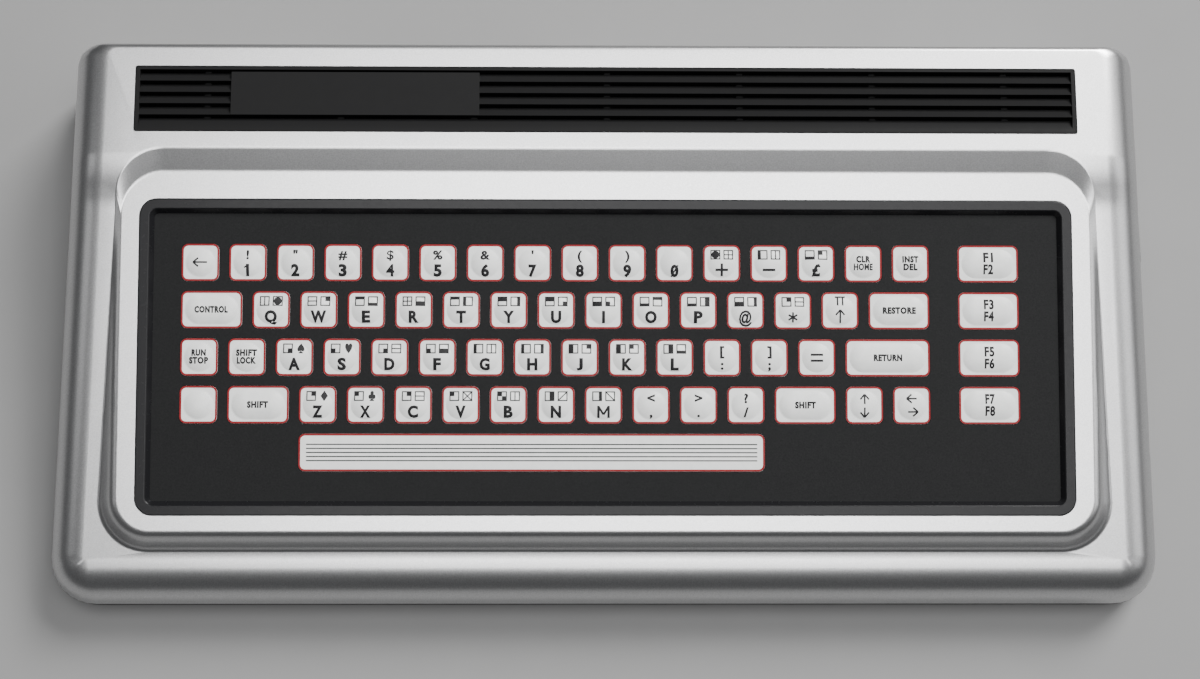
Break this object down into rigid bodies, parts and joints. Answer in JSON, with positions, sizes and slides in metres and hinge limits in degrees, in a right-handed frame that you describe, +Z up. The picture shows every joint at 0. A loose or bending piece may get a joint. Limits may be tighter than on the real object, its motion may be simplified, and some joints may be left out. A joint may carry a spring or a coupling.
{
  "type": "vintage home computer",
  "caption": "Low wedge-shaped vintage home computer in a silver case with a flat membrane keyboard, rear cartridge slot, side game ports and a rocker power switch.",
  "frame": {"origin": "centre of the footprint, on the surface that the rubber feet stand on", "axes": "+X to the user's right, +Y to the rear (the edge with the cartridge slot), +Z up"},
  "size_m": [0.357, 0.1766, 0.0514],
  "materials": {
    "silver_paint": "fine-grained metallic silver paint over moulded plastic, satin",
    "dark_plastic": "dark charcoal moulded plastic with a fine texture",
    "louvre_black": "black moulded plastic, satin",
    "bezel_black": "black moulded plastic, polished edges",
    "panel_charcoal": "charcoal printed film, matt",
    "key_white": "off-white printed film with a thin red outline and dark legends, matt",
    "spacer_grey": "grey plastic sheet",
    "film_amber": "amber polyester film with printed tracks",
    "plate_steel": "zinc-plated sheet steel",
    "connector_ivory": "ivory moulded plastic",
    "board_green": "green solder mask on glass-fibre board",
    "chip_black": "black moulded epoxy with tinned pins",
    "chip_ceramic": "grey ceramic package with plated pins",
    "socket_black": "black moulded plastic",
    "can_steel": "tinned sheet steel",
    "jack_metal": "nickel-plated barrel",
    "switch_black": "black moulded plastic, lightly polished",
    "contact_gold": "gold-flashed copper fingers",
    "port_steel": "tinned steel shell with brass pins",
    "sink_aluminium": "black anodised extrusion",
    "capacitor_blue": "blue heat-shrunk sleeve",
    "resistor_tan": "tan lacquer with tinned leads",
    "screw_steel": "zinc-plated steel",
    "foot_rubber": "black rubber, matt"
  },
  "bodies": {
    "case": {"top_case": "silver_paint", "bottom_case": "dark_plastic", "louvre_insert": "louvre_black", "keyboard_bezel": "bezel_black", "keyboard_overlay": "panel_charcoal", "key_spacer": "spacer_grey", "contact_layer": "film_amber", "keyboard_backplate": "plate_steel", "keyboard_tail": "film_amber", "tail_connector": "connector_ivory", "main_board": "board_green", "processor_chip": "chip_black", "video_chip": "chip_ceramic", "sound_chip": "chip_black", "io_chip": "chip_black", "memory_and_logic_chips": "chip_black", "chip_sockets": "socket_black", "rf_modulator": "can_steel", "tv_jack": "jack_metal", "channel_switch": "can_steel", "cartridge_connector": "socket_black", "cassette_contacts": "contact_gold", "control_ports": "port_steel", "power_socket": "switch_black", "power_switch": "switch_black", "voltage_regulator": "chip_black", "heat_sink": "sink_aluminium", "crystal": "can_steel", "capacitors": "capacitor_blue", "resistors": "resistor_tan", "case_screws": "screw_steel", "small_screws": "screw_steel", "rubber_feet": "foot_rubber"},
    "key_clr_home": {"key_clr_home": "key_white"},
    "key_inst_del": {"key_inst_del": "key_white"},
    "key_control": {"key_control": "key_white"},
    "key_restore": {"key_restore": "key_white"},
    "key_run_stop": {"key_run_stop": "key_white"},
    "key_shift_lock": {"key_shift_lock": "key_white"},
    "key_return": {"key_return": "key_white"},
    "key_plain": {"key_plain": "key_white"},
    "key_shift_left": {"key_shift_left": "key_white"},
    "key_shift_right": {"key_shift_right": "key_white"},
    "key_cursor_updown": {"key_cursor_updown": "key_white"},
    "key_cursor_leftright": {"key_cursor_leftright": "key_white"},
    "key_f1_f2": {"key_f1_f2": "key_white"},
    "key_f3_f4": {"key_f3_f4": "key_white"},
    "key_f5_f6": {"key_f5_f6": "key_white"},
    "key_f7_f8": {"key_f7_f8": "key_white"},
    "key_space": {"key_space": "key_white"},
    "keys_row1_left": {"keys_row1_left": "key_white"},
    "keys_row1_right": {"keys_row1_right": "key_white"},
    "keys_row2_left": {"keys_row2_left": "key_white"},
    "keys_row2_right": {"keys_row2_right": "key_white"},
    "keys_row3_left": {"keys_row3_left": "key_white"},
    "keys_row3_right": {"keys_row3_right": "key_white"},
    "keys_row4_left": {"keys_row4_left": "key_white"},
    "keys_row4_right": {"keys_row4_right": "key_white"},
    "power_rocker": {"power_rocker": "switch_black"},
    "channel_slider": {"channel_slider": "switch_black"}
  },
  "joints": [
    {"name": "key_clr_home_press", "type": "slide", "parent": "case", "child": "key_clr_home", "axis": [0, 0.1219, -0.9925], "range_m": [0, 0.0006], "stiffness_N_per_m": 400, "springref_m": -0.0005},
    {"name": "key_inst_del_press", "type": "slide", "parent": "case", "child": "key_inst_del", "axis": [0, 0.1219, -0.9925], "range_m": [0, 0.0006], "stiffness_N_per_m": 400, "springref_m": -0.0005},
    {"name": "key_control_press", "type": "slide", "parent": "case", "child": "key_control", "axis": [0, 0.1219, -0.9925], "range_m": [0, 0.0006], "stiffness_N_per_m": 400, "springref_m": -0.0005},
    {"name": "key_restore_press", "type": "slide", "parent": "case", "child": "key_restore", "axis": [0, 0.1219, -0.9925], "range_m": [0, 0.0006], "stiffness_N_per_m": 400, "springref_m": -0.0005},
    {"name": "key_run_stop_press", "type": "slide", "parent": "case", "child": "key_run_stop", "axis": [0, 0.1219, -0.9925], "range_m": [0, 0.0006], "stiffness_N_per_m": 400, "springref_m": -0.0005},
    {"name": "key_shift_lock_press", "type": "slide", "parent": "case", "child": "key_shift_lock", "axis": [0, 0.1219, -0.9925], "range_m": [0, 0.0006], "stiffness_N_per_m": 400, "springref_m": -0.0005},
    {"name": "key_return_press", "type": "slide", "parent": "case", "child": "key_return", "axis": [0, 0.1219, -0.9925], "range_m": [0, 0.0006], "stiffness_N_per_m": 400, "springref_m": -0.0005},
    {"name": "key_plain_press", "type": "slide", "parent": "case", "child": "key_plain", "axis": [0, 0.1219, -0.9925], "range_m": [0, 0.0006], "stiffness_N_per_m": 400, "springref_m": -0.0005},
    {"name": "key_shift_left_press", "type": "slide", "parent": "case", "child": "key_shift_left", "axis": [0, 0.1219, -0.9925], "range_m": [0, 0.0006], "stiffness_N_per_m": 400, "springref_m": -0.0005},
    {"name": "key_shift_right_press", "type": "slide", "parent": "case", "child": "key_shift_right", "axis": [0, 0.1219, -0.9925], "range_m": [0, 0.0006], "stiffness_N_per_m": 400, "springref_m": -0.0005},
    {"name": "key_cursor_updown_press", "type": "slide", "parent": "case", "child": "key_cursor_updown", "axis": [0, 0.1219, -0.9925], "range_m": [0, 0.0006], "stiffness_N_per_m": 400, "springref_m": -0.0005},
    {"name": "key_cursor_leftright_press", "type": "slide", "parent": "case", "child": "key_cursor_leftright", "axis": [0, 0.1219, -0.9925], "range_m": [0, 0.0006], "stiffness_N_per_m": 400, "springref_m": -0.0005},
    {"name": "key_f1_f2_press", "type": "slide", "parent": "case", "child": "key_f1_f2", "axis": [0, 0.1219, -0.9925], "range_m": [0, 0.0006], "stiffness_N_per_m": 400, "springref_m": -0.0005},
    {"name": "key_f3_f4_press", "type": "slide", "parent": "case", "child": "key_f3_f4", "axis": [0, 0.1219, -0.9925], "range_m": [0, 0.0006], "stiffness_N_per_m": 400, "springref_m": -0.0005},
    {"name": "key_f5_f6_press", "type": "slide", "parent": "case", "child": "key_f5_f6", "axis": [0, 0.1219, -0.9925], "range_m": [0, 0.0006], "stiffness_N_per_m": 400, "springref_m": -0.0005},
    {"name": "key_f7_f8_press", "type": "slide", "parent": "case", "child": "key_f7_f8", "axis": [0, 0.1219, -0.9925], "range_m": [0, 0.0006], "stiffness_N_per_m": 400, "springref_m": -0.0005},
    {"name": "key_space_press", "type": "slide", "parent": "case", "child": "key_space", "axis": [0, 0.1219, -0.9925], "range_m": [0, 0.0006], "stiffness_N_per_m": 600, "springref_m": -0.0005},
    {"name": "keys_row1_left_press", "type": "slide", "parent": "case", "child": "keys_row1_left", "axis": [0, 0.1219, -0.9925], "range_m": [0, 0.0006], "stiffness_N_per_m": 400, "springref_m": -0.0005},
    {"name": "keys_row1_right_press", "type": "slide", "parent": "case", "child": "keys_row1_right", "axis": [0, 0.1219, -0.9925], "range_m": [0, 0.0006], "stiffness_N_per_m": 400, "springref_m": -0.0005},
    {"name": "keys_row2_left_press", "type": "slide", "parent": "case", "child": "keys_row2_left", "axis": [0, 0.1219, -0.9925], "range_m": [0, 0.0006], "stiffness_N_per_m": 400, "springref_m": -0.0005},
    {"name": "keys_row2_right_press", "type": "slide", "parent": "case", "child": "keys_row2_right", "axis": [0, 0.1219, -0.9925], "range_m": [0, 0.0006], "stiffness_N_per_m": 400, "springref_m": -0.0005},
    {"name": "keys_row3_left_press", "type": "slide", "parent": "case", "child": "keys_row3_left", "axis": [0, 0.1219, -0.9925], "range_m": [0, 0.0006], "stiffness_N_per_m": 400, "springref_m": -0.0005},
    {"name": "keys_row3_right_press", "type": "slide", "parent": "case", "child": "keys_row3_right", "axis": [0, 0.1219, -0.9925], "range_m": [0, 0.0006], "stiffness_N_per_m": 400, "springref_m": -0.0005},
    {"name": "keys_row4_left_press", "type": "slide", "parent": "case", "child": "keys_row4_left", "axis": [0, 0.1219, -0.9925], "range_m": [0, 0.0006], "stiffness_N_per_m": 400, "springref_m": -0.0005},
    {"name": "keys_row4_right_press", "type": "slide", "parent": "case", "child": "keys_row4_right", "axis": [0, 0.1219, -0.9925], "range_m": [0, 0.0006], "stiffness_N_per_m": 400, "springref_m": -0.0005},
    {"name": "power_rocker_tilt", "type": "hinge", "parent": "case", "child": "power_rocker", "pos_m": [0.171, 0.0318, 0.0195], "axis": [0, 0, 1], "range_deg": [0, 16]},
    {"name": "channel_slider_travel", "type": "slide", "parent": "case", "child": "channel_slider", "axis": [1, 0, 0], "range_m": [0, 0.003]}
  ]
}
